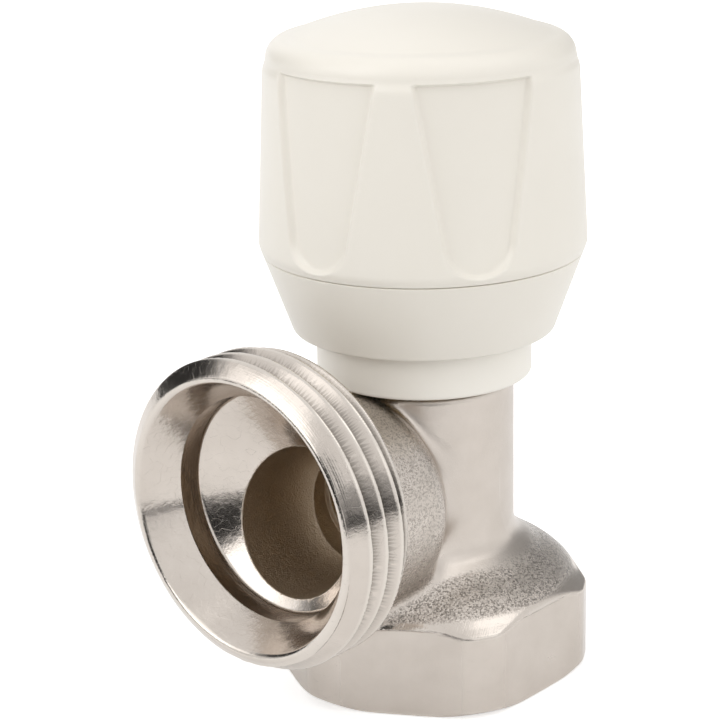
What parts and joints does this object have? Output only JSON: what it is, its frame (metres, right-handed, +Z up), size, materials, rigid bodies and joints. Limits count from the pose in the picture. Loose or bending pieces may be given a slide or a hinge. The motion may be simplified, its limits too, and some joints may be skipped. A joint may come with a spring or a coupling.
{
  "type": "manual angle radiator valve",
  "caption": "Angle radiator valve: a forged hexagon-foot body with a threaded outlet at its side, a rising plug inside and a white handwheel that screws it open and shut.",
  "frame": {"origin": "centre of the inlet's mouth, in the plane of the foot's lower face", "axes": "+Z up the spindle, +X out of the outlet, +Y completes the right hand"},
  "size_m": [0.0478, 0.0352, 0.0734],
  "materials": {
    "nickel_brass": "satin nickel plate",
    "turned_brass": "turned",
    "white_plastic": "satin moulded",
    "black_rubber": "moulded",
    "gasket_fibre": "pressed",
    "zinc_steel": "zinc plate"
  },
  "bodies": {
    "valve": {"valve_body": "nickel_brass", "bonnet_gasket": "gasket_fibre", "bonnet": "turned_brass", "collar": "white_plastic"},
    "plug_group": {"plug": "turned_brass", "plug_gasket": "black_rubber", "plug_washer": "turned_brass"},
    "handwheel": {"spindle": "turned_brass", "stem_ring_lower": "black_rubber", "stem_ring_upper": "black_rubber", "plug_clip": "zinc_steel", "handwheel_carrier": "white_plastic", "handwheel_cap": "white_plastic", "handwheel_screw": "zinc_steel"}
  },
  "joints": [
    {"name": "plug_lift", "type": "slide", "parent": "valve", "child": "plug_group", "axis": [0, 0, 1], "range_m": [0, 0.0035]},
    {"name": "handwheel_turn", "type": "hinge", "parent": "plug_group", "child": "handwheel", "pos_m": [0, 0, 0.038], "axis": [0, 0, 1], "range_deg": [0, 900]}
  ],
  "couplings": [
    {"joint": "plug_lift", "follows": "handwheel_turn", "m_per_rad": 0.00022282}
  ]
}
